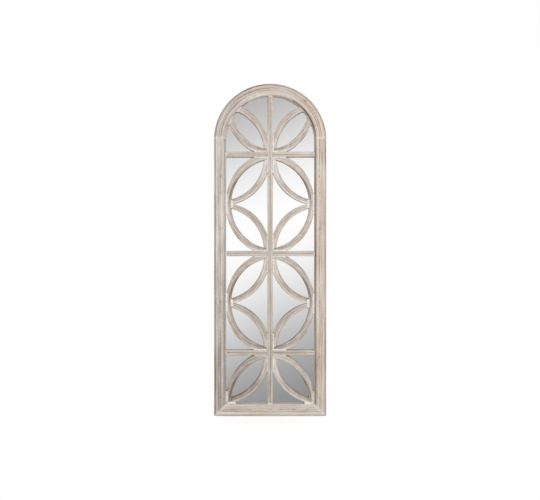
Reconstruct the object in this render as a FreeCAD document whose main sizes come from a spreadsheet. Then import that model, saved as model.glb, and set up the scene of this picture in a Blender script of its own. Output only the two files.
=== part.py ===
import FreeCAD, Part
import math
import os
import Sketcher
from types import SimpleNamespace

# Arch-topped window mirror. Millimetres, +X to the viewer's right, +Z up. The front faces -Y and
# the frame's flat back lies in the plane y = 0. The foot of the frame stands at z = 0.

sizes = {
    # the frame as a whole
    "overall_width": 609.6,
    "overall_height": 1803.4,
    "frame_face": 63.5,             # from the outer edge to the sight edge
    "frame_depth": 41.0,            # from the flat back to the outer band
    "arch_joint_angle": 2.5,        # the stiles run this many degrees past the springing
    # the moulding, from the outer edge inwards
    "edge_step_width": 9.5,
    "edge_step_drop": 5.0,
    "band_width": 13.5,
    "groove_width": 4.5,
    "groove_depth": 3.0,
    "fillet_width": 6.5,
    "quirk_width": 3.0,
    "quirk_depth": 2.0,
    "flat_drop": 2.2,               # the broad flat lies this far below the outer band
    "flat_slope": 0.8,              # and falls this much towards the opening
    "ease_width": 5.0,              # the flat eases off first, then slopes to the sight edge
    "ease_drop": 2.0,
    "slope_width": 4.0,
    "slope_drop": 5.0,
    # the rebates in the back
    "board_recess": 2.0,            # from the frame's back to the board's back
    "board_thickness": 3.0,
    "board_rebate": 22.0,           # measured from the sight edge
    "board_side_gap": 1.0,
    "glass_thickness": 4.0,
    "glass_rebate": 10.0,
    "glass_side_gap": 1.5,
    # loose tongues in the frame's mitres and arch joints
    "tongue_thickness": 6.0,
    "tongue_height": 15.0,          # from the frame's back
    "tongue_reach": 16.0,           # into the piece at either side of the joint
    "arch_tongue_width": 26.0,
    "arch_tongue_inset": 14.0,      # along the joint, from its outer end
    "mitre_tongue_width": 22.0,
    "mitre_tongue_inset": 32.0,
    # the lattice bars
    "bar_width": 28.6,
    "bar_thickness": 18.0,
    "bar_edge_chamfer": 2.0,
    "bar_groove_width": 5.0,
    "bar_groove_depth": 3.0,
    "upper_rail_below_spring": 76.6,
    "lowest_node_above_foot": 8.5,  # from the foot rail's sight edge to the lowest petal tips
    "tenon_length": 8.0,
    "tenon_width": 12.0,
    "tenon_thickness": 8.0,
    "fit_gap": 0.1,                 # clearance in every close joint and hole
    # the hoop strips (outer) and the petal strips (inner)
    "strip_thickness": 15.0,
    "outer_rail_landing": 74.9,     # along the cross bar, from the mullion's side
    "outer_mullion_landing": 13.3,  # along the mullion, from the cross bar's edge
    "outer_outside_radius": 269.5,
    "outer_inside_radius": 242.5,
    "outer_node_width": 28.8,       # at the stile, sight edge to the strip's hollow edge
    "heel_length": 58.0,            # the flat that seats against the stile, each way from the node
    "heel_step": 5.4,
    "inner_rail_landing": 19.2,
    "inner_mullion_landing": 86.5,
    "inner_inside_radius": 238.5,
    "inner_outside_radius": 252.0,
    "inner_inside_before_node": 19.5,
    "inner_outside_inset": 44.2,    # from the sight edge, where the petal strip's blank ends
    "node_gap": 3.0,                # between the two petal strips that meet at a stile
    "foot_inset": 56.3,             # from the sight edge to the lowest petal strips' toes
    "foot_rise": 4.6,
    # flat steel points that hold the backing board
    "point_width": 8.0,
    "point_thickness": 0.8,
    "point_over_board": 9.0,        # from the rebate's side inwards
    "point_driven": 8.0,            # into the rebate's side
    # hangers on the back of the stiles
    "hanger_below_spring": 100.0,
    "hanger_inset": 20.0,           # from the frame's outer edge to the strap's middle
    "strap_width": 16.0,
    "strap_length": 52.0,
    "strap_thickness": 1.2,
    "strap_crank": 0.6,             # how far the strap is cranked out before its eye
    "strap_crank_start": 5.0,
    "eye_play": 0.1,
    "strap_screw_first": 31.0,
    "strap_screw_pitch": 14.0,
    "ring_wire_radius": 1.5,
    "ring_half_width": 13.5,        # from the middle to the wire's centre line
    "ring_leg_length": 8.0,
    "strap_screw_radius": 2.0,
    "strap_screw_length": 16.0,
    "strap_screw_head_radius": 4.0,
    "strap_screw_head_height": 2.2,
    # rubber pads at the foot of the back
    "bumper_width": 12.0,
    "bumper_inset": 18.0,
    "bumper_above_foot": 90.0,
    # how far cutting tools run past what they cut
    "overrun": 5.0,
}

# how many flats the screws have
screw_flats = 6

# places of the board's points, as shares of the run that they stand on
stile_point_shares = [0.1, 0.37, 0.64, 0.91]
arch_point_shares = [0.25, 0.5, 0.75]
foot_point_shares = [-0.5, 0.5]

# how far above the springing the arch's hoops would meet their nodes, as a share of its radius
arch_node_share = 0.8015

doc = FreeCAD.newDocument("window_mirror")
sheet = doc.addObject("Spreadsheet::Sheet", "Sizes")
for row, (alias, number) in enumerate(sizes.items(), start=1):
    sheet.set(f"A{row}", alias)
    sheet.set(f"B{row}", str(number))
    sheet.setAlias(f"B{row}", alias)
doc.recompute()


class Size:
    """A size worked out from the sheet: its number, and the same sum in the sheet's words."""

    def __init__(self, number, words):
        self.number = number
        self.words = words

    def __add__(self, other):
        return Size(self.number + other.number, f"({self.words} + {other.words})")

    def __sub__(self, other):
        return Size(self.number - other.number, f"({self.words} - {other.words})")

    def __mul__(self, other):
        other = as_size(other)
        if "0" in (self.words, other.words):
            return zero
        return Size(self.number * other.number, f"({self.words} * {other.words})")

    def __truediv__(self, other):
        other = as_size(other)
        return Size(self.number / other.number, f"({self.words} / {other.words})")

    def __rmul__(self, other):
        return self * other

    def __neg__(self):
        return self * -1


def as_size(thing):
    """A plain factor as a Size; a Size stays as it is."""
    return thing if isinstance(thing, Size) else Size(float(thing), str(thing))


def root(size):
    """Square root of a sum of squared sizes."""
    return Size(math.sqrt(size.number), f"sqrt({size.words})")


zero = Size(0.0, "0")
d = SimpleNamespace(**{alias: Size(float(getattr(sheet, alias)), f"Sizes.{alias}") for alias in sizes})

# places worked out from the sheet
half_width = d.overall_width / 2
sight_half = half_width - d.frame_face
spring_height = d.overall_height - half_width
board_front = d.board_recess + d.board_thickness       # above the flat back
glass_front = board_front + d.glass_thickness
bar_half = d.bar_width / 2
upper_rail_height = spring_height - d.upper_rail_below_spring
# two and a half spacings lie between the upper cross bar and the lowest petal tips
rail_pitch = (upper_rail_height - d.frame_face - d.lowest_node_above_foot) / 2.5
middle_rail_height = upper_rail_height - rail_pitch
lower_rail_height = middle_rail_height - rail_pitch
half_pitch = rail_pitch / 2
arch_node = d.upper_rail_below_spring + sight_half * arch_node_share    # above the upper cross bar
eye_inner_radius = d.ring_wire_radius + d.eye_play
eye_outer_radius = eye_inner_radius + d.strap_thickness
eye_height = spring_height - d.hanger_below_spring
eye_out = eye_outer_radius + d.strap_crank             # the eye's axis, behind the flat back
hanger_across = half_width - d.hanger_inset

sub_parts = []


def keep(shape_object, label):
    """Give a finished sub-part the name that its file takes."""
    shape_object.Label = label
    sub_parts.append(shape_object)
    return shape_object


def bind(thing, **properties):
    """Tie properties of an object to sums of sheet cells."""
    for name, size in properties.items():
        thing.setExpression(name, size.words)


def place(thing, x=zero, y=zero, z=zero):
    """Tie the place of an object to sums of sheet cells."""
    for axis, size in (("x", x), ("y", y), ("z", z)):
        thing.setExpression(f"Placement.Base.{axis}", size.words)


def turn(thing, axis, angle):
    """Turn an object about a fixed axis by an angle from the sheet."""
    thing.Placement = FreeCAD.Placement(FreeCAD.Vector(0, 0, 0), FreeCAD.Rotation(axis, angle.number))
    thing.setExpression("Placement.Rotation.Angle", angle.words)


def new_body(name):
    return doc.addObject("PartDesign::Body", name)


def arc_centre(start, end, radius, way):
    """Centre of the short arc from start to end; way is 1 for counter-clockwise."""
    across = end[0] - start[0]
    along = end[1] - start[1]
    chord = root(across * across + along * along)
    lift = root(radius * radius - chord * chord / 4) / chord * way
    middle_x = (start[0] + end[0]) / 2
    middle_y = (start[1] + end[1]) / 2
    return middle_x - along * lift, middle_y + across * lift


def draw_outline(body, name, plane, corners, lift=None):
    """A sketch of one closed outline. A corner is (x, y), or (x, y, radius, way) where a short
    arc runs on to the next corner. Each corner and radius is tied to the sheet."""
    sketch = body.newObject("Sketcher::SketchObject", name)
    planes = {feature.Role: feature for feature in body.Origin.OriginFeatures}
    sketch.AttachmentSupport = [(planes[plane + "_Plane"], "")]
    sketch.MapMode = "FlatFace"
    if lift is not None:
        sketch.setExpression("AttachmentOffset.Base.z", lift.words)
    followers = corners[1:] + corners[:1]
    starts = []
    for corner, follower in zip(corners, followers):
        here = FreeCAD.Vector(corner[0].number, corner[1].number, 0)
        there = FreeCAD.Vector(follower[0].number, follower[1].number, 0)
        forwards = len(corner) == 2 or corner[3] > 0
        starts.append(1 if forwards else 2)
        if len(corner) == 2:
            sketch.addGeometry(Part.LineSegment(here, there))
            continue
        centre_x, centre_y = arc_centre(corner, follower, corner[2], corner[3])
        centre = FreeCAD.Vector(centre_x.number, centre_y.number, 0)
        ends = (here, there) if forwards else (there, here)
        angles = [math.atan2(end.y - centre.y, end.x - centre.x) for end in ends]
        circle = Part.Circle(centre, FreeCAD.Vector(0, 0, 1), corner[2].number)
        sketch.addGeometry(Part.ArcOfCircle(circle, *angles))
    for index, corner in enumerate(corners):
        following = (index + 1) % len(corners)
        sketch.addConstraint(Sketcher.Constraint(
            "Coincident", index, 3 - starts[index], following, starts[following]))
        for kind, axis, size in (("DistanceX", -2, corner[0]), ("DistanceY", -1, corner[1])):
            if size.words == zero.words:
                sketch.addConstraint(Sketcher.Constraint("PointOnObject", index, starts[index], axis))
            else:
                tie(sketch, size, kind, index, starts[index])
        if len(corner) == 4:
            tie(sketch, corner[2], "Radius", index)
    return sketch


def tie(sketch, size, *held):
    """A dimension in a sketch, tied to the sheet."""
    number = sketch.addConstraint(Sketcher.Constraint(*held, size.number))
    sketch.setExpression(f"Constraints[{number}]", size.words)


def laid(corners, lay, flip=1):
    """An outline laid another way: lay maps a point, and flip is -1 where that mirrors it."""
    arcs = [((corner[2], flip * corner[3]) if len(corner) == 4 else ()) for corner in corners]
    return [lay(*corner[:2]) + arc for corner, arc in zip(corners, arcs)]


def add_pad(body, sketch, length, side_type="One side"):
    pad = body.newObject("PartDesign::Pad", sketch.Name + "_pad")
    pad.Profile = sketch
    pad.SideType = side_type
    bind(pad, Length=length)
    return pad


def add_mitre(body, name, corners):
    """Cuts a mitre's waste right through the frame's depth."""
    waste = draw_outline(body, name, "XZ", corners)
    pocket = body.newObject("PartDesign::Pocket", name + "_pocket")
    pocket.Profile = waste
    pocket.SideType = "Symmetric"
    bind(pocket, Length=(d.frame_depth + d.overrun) * 2)


def add_box(name, low, high):
    """A box between two corners, each tied to the sheet."""
    box = doc.addObject("Part::Box", name)
    bind(box, Length=high[0] - low[0], Width=high[1] - low[1], Height=high[2] - low[2])
    place(box, *low)
    return box


# A cylinder stands along Z until one of these turns it.
to_front = FreeCAD.Rotation(FreeCAD.Vector(1, 0, 0), 90)
to_right = FreeCAD.Rotation(FreeCAD.Vector(0, 1, 0), 90)


def add_cylinder(name, radius, length, turned_by, **at):
    """A cylinder along Z, turned and then placed."""
    cylinder = doc.addObject("Part::Cylinder", name)
    bind(cylinder, Radius=radius, Height=length)
    cylinder.Placement.Rotation = turned_by
    place(cylinder, **at)
    return cylinder


def add_fuse(name, pieces):
    fuse = doc.addObject("Part::MultiFuse", name)
    fuse.Shapes = pieces
    fuse.Refine = True
    return fuse


def add_boolean(kind, name, base, tool):
    """A Cut or a Common of two objects."""
    boolean = doc.addObject("Part::" + kind, name)
    boolean.Base = base
    boolean.Tool = tool
    boolean.Refine = True
    return boolean


def make_shank(rings):
    """A solid along Z through rings (radius, height), in order, each with the screws' flats."""
    turns = [2 * math.pi * flat / screw_flats for flat in range(screw_flats + 1)]
    wires = []
    for radius, height in rings:
        corners = [(radius * math.cos(angle), radius * math.sin(angle), height) for angle in turns]
        wires.append(Part.makePolygon([FreeCAD.Vector(*corner) for corner in corners]))
    stages = [
        Part.makeLoft([wires[index], wires[index + 1]], True, True)
        for index in range(len(rings) - 1) if rings[index][1] != rings[index + 1][1]
    ]
    return stages[0].multiFuse(stages[1:]).removeSplitter()


def add_screws(name, screw, places):
    """Copies of one screw driven into the back at each (x, z), the Z of each turned backwards."""
    copies = []
    for x, z in places:
        copy = screw.copy()
        copy.Placement = FreeCAD.Placement(FreeCAD.Vector(x, 0, z), FreeCAD.Rotation(to_front.Axis, -90))
        copies.append(copy)
    group = doc.addObject("Part::Feature", name)
    group.Shape = Part.makeCompound(copies)
    return group


def add_compound(name, pieces):
    compound = doc.addObject("Part::Compound", name)
    compound.Links = pieces
    return compound


# The frame's moulding. Its section runs from the outer edge (0) to the sight edge, and from the
# flat back (0) to the front. Both rebates for the board and the glass are in it.
flat_start = d.edge_step_width + d.band_width + d.groove_width + d.fillet_width + d.quirk_width
flat_top = d.frame_depth - d.flat_drop
ease_top = flat_top - d.flat_slope


def moulding_section():
    """The section's corners as (inwards, forwards)."""
    groove_start = d.edge_step_width + d.band_width
    fillet_start = groove_start + d.groove_width
    fillet_end = fillet_start + d.fillet_width
    step_top = d.frame_depth - d.edge_step_drop
    return [
        (zero, zero),
        (zero, step_top),
        (d.edge_step_width, step_top),
        (d.edge_step_width, d.frame_depth),
        (groove_start, d.frame_depth),
        (groove_start + d.groove_width / 2, d.frame_depth - d.groove_depth),
        (fillet_start, d.frame_depth),
        (fillet_end, d.frame_depth),
        (fillet_end + d.quirk_width / 2, flat_top - d.quirk_depth),
        (flat_start, flat_top),
        (d.frame_face - d.slope_width - d.ease_width, ease_top),
        (d.frame_face - d.slope_width, ease_top - d.ease_drop),
        (d.frame_face, ease_top - d.ease_drop - d.slope_drop),
        (d.frame_face, glass_front),
        (d.frame_face - d.glass_rebate, glass_front),
        (d.frame_face - d.glass_rebate, board_front),
        (d.frame_face - d.board_rebate, board_front),
        (d.frame_face - d.board_rebate, zero),
    ]


def section_on(side):
    """The section laid across the opening at the right (1) or left (-1), for an XY sketch."""
    corners = moulding_section()
    return laid(corners, lambda inwards, forwards: (side * (half_width - inwards), -forwards), side)


# Stiles: straight up to the springing, then a short way into the curve, mitred at the foot.
def make_stile(name, side):
    body = new_body(name + "_blank")
    section = draw_outline(body, name + "_section", "XY", section_on(side))
    add_pad(body, section, spring_height)
    top_section = draw_outline(body, name + "_top_section", "XY", section_on(side), lift=spring_height)
    top = body.newObject("PartDesign::Revolution", name + "_top")
    top.Profile = top_section
    top.ReferenceAxis = (top_section, ["V_Axis"])
    top.Reversed = side > 0
    bind(top, Angle=d.arch_joint_angle)
    past = d.overrun
    add_mitre(body, name + "_mitre", [
        (side * (half_width + past), -past),
        (side * (sight_half - past), d.frame_face + past),
        (side * (sight_half - past), -past),
    ])
    return body


# The foot rail runs the full width and is mitred at both ends.
def make_foot_rail(name):
    body = new_body(name + "_blank")
    corners = laid(moulding_section(), lambda inwards, forwards: (-forwards, inwards))
    section = draw_outline(body, name + "_section", "YZ", corners)
    add_pad(body, section, d.overall_width, "Symmetric")
    past = d.overrun
    for side, end in ((-1, "left"), (1, "right")):
        add_mitre(body, f"{name}_mitre_{end}", [
            (side * (half_width + past), -past),
            (side * (half_width + past), d.frame_face + past),
            (side * (sight_half - past), d.frame_face + past),
        ])
    return body


# Arch segments: the moulding turned about the arch's centre. Each third starts at its own angle.
half_turn = Size(180.0, "180")
arch_span = (half_turn - d.arch_joint_angle * 2) / 3


def make_arch_segment(name, start_angle):
    body = new_body(name + "_blank")
    section = draw_outline(body, name + "_section", "XY", section_on(1))
    sweep = body.newObject("PartDesign::Revolution", name + "_sweep")
    sweep.Profile = section
    sweep.ReferenceAxis = (section, ["V_Axis"])
    sweep.Reversed = True
    bind(sweep, Angle=arch_span)
    turn(body, FreeCAD.Vector(0, 1, 0), -start_angle)
    place(body, z=spring_height)
    return body


# Flat pieces let into the frame lie along X until they are turned about Y and placed.
def add_turned_box(name, low, high, angle, **at):
    turned = add_compound(name, [add_box(name + "_box", low, high)])
    turn(turned, FreeCAD.Vector(0, 1, 0), angle)
    place(turned, **at)
    return turned


# Loose tongues: a flat strip of plywood glued across each mitre and each arch joint.
def add_tongue(name, outer_end, inset, width, angle, gap, **at):
    """One tongue, or its slot when it has a gap. The joint runs inwards from outer_end."""
    out = outer_end - inset
    low = (out - width - gap, -(d.tongue_height + d.tongue_thickness + gap), -(d.tongue_reach + gap))
    high = (out + gap, -(d.tongue_height - gap), d.tongue_reach + gap)
    return add_turned_box(name, low, high, angle, **at)


def add_tongues(name, gap=zero):
    tongues = []
    for number in range(4):
        angle = -(d.arch_joint_angle + arch_span * number)
        tongues.append(add_tongue(
            f"{name}_arch_{number}", half_width, d.arch_tongue_inset, d.arch_tongue_width, angle, gap,
            z=spring_height))
    for side, angle in ((-1, half_turn * 3 / 4), (1, half_turn / 4)):
        tongues.append(add_tongue(
            f"{name}_mitre_{side + 1}", zero, d.mitre_tongue_inset, d.mitre_tongue_width, angle, gap,
            x=side * half_width))
    return add_compound(name, tongues)


keep(add_tongues("tongues"), "joint_tongues")
tongue_slots = add_tongues("tongue_slots", d.fit_gap)


# Flat steel points, driven into the side of the board's rebate. They lie on the board's back.
def add_point(name, wall, angle, gap, **at):
    """One point, or its slot when it has a gap. The rebate's side is at wall."""
    half = d.point_width / 2 + gap
    low = (wall - d.point_over_board, -(d.board_recess + gap), -half)
    high = (wall + d.point_driven + gap, -(d.board_recess - d.point_thickness - gap), half)
    return add_turned_box(name, low, high, angle, **at)


def add_points(name, gap=zero):
    wall = sight_half + d.board_rebate
    run = spring_height - d.frame_face
    points = []
    for number, share in enumerate(stile_point_shares):
        height = d.frame_face + run * share
        points.append(add_point(f"{name}_right_{number}", wall, zero, gap, z=height))
        points.append(add_point(f"{name}_left_{number}", wall, half_turn, gap, z=height))
    for number, share in enumerate(arch_point_shares):
        points.append(add_point(f"{name}_arch_{number}", wall, -(half_turn * share), gap, z=spring_height))
    for number, share in enumerate(foot_point_shares):
        points.append(add_point(
            f"{name}_foot_{number}", d.board_rebate, half_turn / 2, gap, x=sight_half * share, z=d.frame_face))
    return add_compound(name, points)


keep(add_points("points"), "backing_points")
point_slots = add_points("point_slots", d.fit_gap)


# Pan-head screws through the two hanger straps.
def strap_screw_places():
    first = (eye_height - d.strap_screw_first).number
    heights = (first, first - d.strap_screw_pitch.number)
    return [(side * hanger_across.number, z) for side in (-1, 1) for z in heights]


def make_strap_screw(gap=zero):
    """A screw with its head on the strap, or its hole when it has a gap."""
    radius = (d.strap_screw_radius + gap).number
    length = (d.strap_screw_length + gap).number
    seat = d.strap_thickness.number
    head = d.strap_screw_head_radius.number
    height = d.strap_screw_head_height.number
    return make_shank([(head, seat + height), (head, seat), (radius, seat), (radius, seat - length)])


strap_screws = add_screws("strap_screws", make_strap_screw(), strap_screw_places())
strap_screw_holes = add_screws("strap_screw_holes", make_strap_screw(d.fit_gap), strap_screw_places())
keep(strap_screws, "hanger_screws")


# Housings in the back of the frame's lip, one for each end of the lattice bars.
rail_heights = {"upper": upper_rail_height, "middle": middle_rail_height, "lower": lower_rail_height}
rail_ends = {row: [(-sight_half, height), (sight_half, height)] for row, height in rail_heights.items()}
mullion_ends = [(zero, d.frame_face), (zero, spring_height + sight_half)]


def add_tenons(name, ends, runs_across, gap=zero):
    """Boxes for the stub tenons at a bar's two ends, or for their housings when they have a gap."""
    reach = d.tenon_length + gap
    half = d.tenon_width / 2 + gap
    half_x, half_z = (reach, half) if runs_across else (half, reach)
    front = glass_front + d.tenon_thickness + gap
    return [
        add_box(f"{name}_{number}", (x - half_x, -front, z - half_z), (x + half_x, -glass_front, z + half_z))
        for number, (x, z) in enumerate(ends)
    ]


housings = add_tenons("housing_mullion", mullion_ends, False, d.fit_gap)
for row, ends in rail_ends.items():
    housings += add_tenons("housing_" + row, ends, True, d.fit_gap)

frame_holes = add_compound("frame_holes", [tongue_slots, point_slots, strap_screw_holes] + housings)


def keep_frame_piece(blank, label):
    """A frame piece with its slots, screw holes and housings cut."""
    keep(add_boolean("Cut", label + "_cut", blank, frame_holes), label)


keep_frame_piece(make_stile("stile_left", -1), "stile_left")
keep_frame_piece(make_stile("stile_right", 1), "stile_right")
keep_frame_piece(make_foot_rail("bottom_rail"), "bottom_rail")
for number, label in enumerate(("arch_right", "arch_crown", "arch_left")):
    keep_frame_piece(make_arch_segment(label, d.arch_joint_angle + arch_span * number), label)


# Glass and backing board: both follow the opening, each in its own rebate.
def make_panel(name, half, foot, back, thickness):
    body = new_body(name + "_panel")
    outline = draw_outline(body, name + "_outline", "XZ", [
        (-half, foot), (half, foot), (half, spring_height, half, 1),
        (zero, spring_height + half, half, 1), (-half, spring_height),
    ])
    add_pad(body, outline, thickness)
    place(body, y=-back)
    return body


glass_past = d.glass_rebate - d.glass_side_gap      # how far the glass runs past the sight edge
board_past = d.board_rebate - d.board_side_gap
keep(make_panel("glass", sight_half + glass_past, d.frame_face - glass_past,
                board_front, d.glass_thickness), "mirror_glass")
keep(make_panel("board", sight_half + board_past, d.frame_face - board_past,
                d.board_recess, d.board_thickness), "backing_board")


# Lattice bars: eased front edges and a groove along the middle.
def bar_section():
    """Corners as (across the bar, forwards from its back, which lies on the glass)."""
    half = bar_half
    top = d.bar_thickness
    ease = d.bar_edge_chamfer
    groove = d.bar_groove_width / 2
    return [
        (-half, zero), (half, zero), (half, top - ease), (half - ease, top),
        (groove, top), (zero, top - d.bar_groove_depth), (-groove, top),
        (ease - half, top), (-half, top - ease),
    ]


# Everything above the springing that lies outside the arch's sight edge, less a close fit.
above_spring = add_box("above_spring", (-half_width, -d.frame_depth, spring_height),
                       (half_width, zero, d.overall_height))
sight_cylinder = add_cylinder(
    "sight_cylinder", sight_half - d.fit_gap, d.frame_depth, to_front, z=spring_height)
outside_arch = add_boolean("Cut", "outside_arch", above_spring, sight_cylinder)

# The bars are halved into each other: the mullion keeps its front, the rails keep their backs.
halving_front = glass_front + d.bar_thickness / 2


def make_mullion():
    body = new_body("mullion_blank")
    corners = laid(bar_section(), lambda across, forwards: (across, -forwards), -1)
    section = draw_outline(body, "mullion_section", "XY", corners)
    add_pad(body, section, spring_height + sight_half - d.frame_face)
    place(body, y=-glass_front, z=d.frame_face)
    scribed = add_boolean("Cut", "mullion_scribed", body, outside_arch)
    whole = add_fuse("mullion_tenoned", [scribed] + add_tenons("mullion_tenon", mullion_ends, False))
    reach = bar_half + d.fit_gap
    notches = [
        add_box("mullion_notch_" + row, (-bar_half, -halving_front, height - reach),
                (bar_half, -glass_front, height + reach))
        for row, height in rail_heights.items()
    ]
    return add_boolean("Cut", "mullion_halved", whole, add_fuse("mullion_notches", notches))


def make_lattice_rail(row):
    name = "rail_" + row
    height = rail_heights[row]
    body = new_body(name + "_blank")
    corners = laid(bar_section(), lambda across, forwards: (-forwards, across))
    section = draw_outline(body, name + "_section", "YZ", corners)
    add_pad(body, section, sight_half * 2, "Symmetric")
    place(body, y=-glass_front, z=height)
    whole = add_fuse(name + "_tenoned", [body] + add_tenons(name + "_tenon", rail_ends[row], True))
    reach = bar_half + d.fit_gap
    notch = add_box(name + "_notch", (-reach, -(glass_front + d.bar_thickness), height - bar_half),
                    (reach, -halving_front, height + bar_half))
    return add_boolean("Cut", name + "_halved", whole, notch)


keep(make_mullion(), "mullion")
for row in rail_heights:
    keep(make_lattice_rail(row), "lattice_rail_" + row)


# Strips. Corners are (outwards from the mullion's middle, away from the cross bar's middle). The
# node is how far from the bar a hoop strip meets its other half on the stile.
def hollow_edge(node):
    """A hoop strip's hollow edge, from the node to the mullion."""
    return [(sight_half - d.outer_node_width, node), (bar_half, bar_half + d.outer_mullion_landing)]


def hollow_corners(node):
    start, end = hollow_edge(node)
    return [start + (d.outer_inside_radius, -1), end]


def hoop_start(node):
    """Its outer edge leaves the cross bar and comes to the heel, the flat that seats on the stile."""
    return [
        (bar_half, bar_half),
        (bar_half + d.outer_rail_landing, bar_half, d.outer_outside_radius, 1),
        (sight_half - d.heel_step, node - d.heel_length),
        (sight_half, node - d.heel_length),
    ]


def whole_hoop_corners():
    """Runs from one cross bar to the next, its second half the first half's mirror image."""
    near = hoop_start(half_pitch)
    far = [(across, rail_pitch - away) for across, away in (corner[:2] for corner in near)]
    upper = [far[3], far[2] + (d.outer_outside_radius, 1), far[1], far[0]]
    hollow = hollow_corners(half_pitch)
    upper_hollow = (hollow[1][0], rail_pitch - hollow[1][1], d.outer_inside_radius, -1)
    return near + upper + [upper_hollow] + hollow


def petal_strip_corners(node, foot=None):
    """A blank that runs past both its ends, where the hoop's hollow edge trims it. The lowest
    ones stand on the foot rail."""
    corners = [
        (bar_half, bar_half),
        (bar_half + d.inner_rail_landing, bar_half, d.inner_inside_radius, -1),
        (sight_half, node - d.inner_inside_before_node),
    ]
    if foot is None:
        end = node - d.node_gap / 2
        corners += [(sight_half, end), (sight_half - d.inner_outside_inset, end, d.inner_outside_radius, 1)]
    else:
        toe = sight_half - d.foot_inset
        corners += [(sight_half, foot), (toe, foot), (toe, node - d.foot_rise, d.inner_outside_radius, 1)]
    return corners + [(bar_half, bar_half + d.inner_mullion_landing)]


def make_strip(name, corners, side, way, height):
    """A flat-backed strip on the glass."""
    body = new_body(name + "_blank")
    placed = laid(corners, lambda outwards, away: (side * outwards, way * away), side * way)
    outline = draw_outline(body, name + "_outline", "XZ", placed)
    add_pad(body, outline, d.strip_thickness)
    place(body, y=-glass_front, z=height)
    return body


def make_petal_strip(name, height, side, way, node=half_pitch, foot=None):
    """The strip across a petal, trimmed to the hollow edge of the hoop that it butts against."""
    blank = make_strip(name, petal_strip_corners(node, foot), side, way, height)
    centre = arc_centre(*hollow_edge(node), d.outer_inside_radius, -1)
    trimmer = add_cylinder(
        name + "_trimmer", d.outer_inside_radius - d.fit_gap, d.frame_depth, to_front,
        x=side * centre[0], z=height + way * centre[1])
    return add_boolean("Common", name + "_trimmed", blank, trimmer)


def keep_scribed(strip, label):
    """A strip cut to fit against the arch."""
    keep(add_boolean("Cut", label + "_scribed", strip, outside_arch), label)


# The half hoops at the foot run straight on from the node, down to the rail.
foot_reach = lower_rail_height - d.frame_face
foot_corners = hoop_start(half_pitch) + [(sight_half, foot_reach), (sight_half - d.outer_node_width, foot_reach)]
foot_corners += hollow_corners(half_pitch)
arch_corners = hoop_start(arch_node) + [(sight_half, arch_node)] + hollow_corners(arch_node)

for side, side_name in ((-1, "left"), (1, "right")):
    arch_hoop = f"hoop_arch_{side_name}"
    keep_scribed(make_strip(arch_hoop, arch_corners, side, 1, upper_rail_height), arch_hoop)
    foot_hoop = f"hoop_foot_{side_name}"
    keep(make_strip(foot_hoop, foot_corners, side, -1, lower_rail_height), foot_hoop)
    for row, height in (("upper", middle_rail_height), ("lower", lower_rail_height)):
        hoop = f"hoop_{row}_{side_name}"
        keep(make_strip(hoop, whole_hoop_corners(), side, 1, height), hoop)
    arch_petal = f"petal_upper_above_{side_name}"
    keep_scribed(make_petal_strip(arch_petal, upper_rail_height, side, 1, arch_node), arch_petal)
    foot_petal = f"petal_lower_below_{side_name}"
    keep(make_petal_strip(foot_petal, lower_rail_height, side, -1, foot=foot_reach), foot_petal)
    for row, way_name, way in (
            ("upper", "below", -1), ("middle", "above", 1), ("middle", "below", -1), ("lower", "above", 1)):
        petal = f"petal_{row}_{way_name}_{side_name}"
        keep(make_petal_strip(petal, rail_heights[row], side, way), petal)


# Hanger straps: a cranked strip with an eye rolled at its top, screwed to the back of a stile.
def make_strap(name, middle):
    body = new_body(name + "_strip")
    thick = d.strap_thickness
    crank = d.strap_crank
    corners = [
        (zero, -d.strap_length), (thick, -d.strap_length), (thick, -d.strap_crank_start),
        (thick + crank, -eye_inner_radius), (thick + crank, zero), (crank, zero),
        (crank, -eye_inner_radius), (zero, -d.strap_crank_start),
    ]
    add_pad(body, draw_outline(body, name + "_outline", "YZ", corners), d.strap_width, "Symmetric")
    place(body, x=middle, z=eye_height)
    left = middle - d.strap_width / 2
    past = d.overrun
    roll = add_cylinder(
        name + "_roll", eye_outer_radius, d.strap_width, to_right, x=left, y=eye_out, z=eye_height)
    bore = add_cylinder(
        name + "_bore", eye_inner_radius, d.strap_width + past * 2, to_right,
        x=left - past, y=eye_out, z=eye_height)
    eyed = add_boolean("Cut", name + "_eyed", add_fuse(name + "_rolled", [body, roll]), bore)
    return add_boolean("Cut", name + "_drilled", eyed, strap_screw_holes)


# D-rings: a round bar that turns in the eye, between the two legs of a half-round bow. They hang
# down.
def make_ring(name, middle):
    wire = d.ring_wire_radius
    leg_foot = -d.ring_leg_length
    outer = d.ring_half_width + wire
    inner = d.ring_half_width - wire
    body = new_body(name + "_bow")
    outline = draw_outline(body, name + "_outline", "XZ", [
        (-outer, wire), (-outer, leg_foot, outer, 1), (zero, leg_foot - outer, outer, 1),
        (outer, leg_foot), (outer, wire), (inner, wire),
        (inner, leg_foot, inner, -1), (zero, leg_foot - inner, inner, -1), (-inner, leg_foot),
        (-inner, wire),
    ])
    add_pad(body, outline, wire * 2, "Symmetric")
    place(body, x=middle, y=eye_out, z=eye_height)
    bar = add_cylinder(name + "_bar", wire, inner * 2, to_right, x=middle - inner, y=eye_out, z=eye_height)
    return add_fuse(name + "_whole", [body, bar])


keep(make_strap("strap_left", -hanger_across), "hanger_strap_left")
keep(make_strap("strap_right", hanger_across), "hanger_strap_right")
keep(make_ring("ring_left", -hanger_across), "hanger_ring_left")
keep(make_ring("ring_right", hanger_across), "hanger_ring_right")


# Rubber pads at the foot of the back, as thick as the hangers, so that the mirror hangs upright.
def make_bumper(name, side):
    across = side * (half_width - d.bumper_inset)
    half = d.bumper_width / 2
    return add_box(name, (across - half, zero, d.bumper_above_foot - half),
                   (across + half, eye_out + eye_outer_radius, d.bumper_above_foot + half))


keep(add_compound("bumpers", [make_bumper("bumper_left", -1), make_bumper("bumper_right", 1)]), "wall_bumpers")

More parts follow.
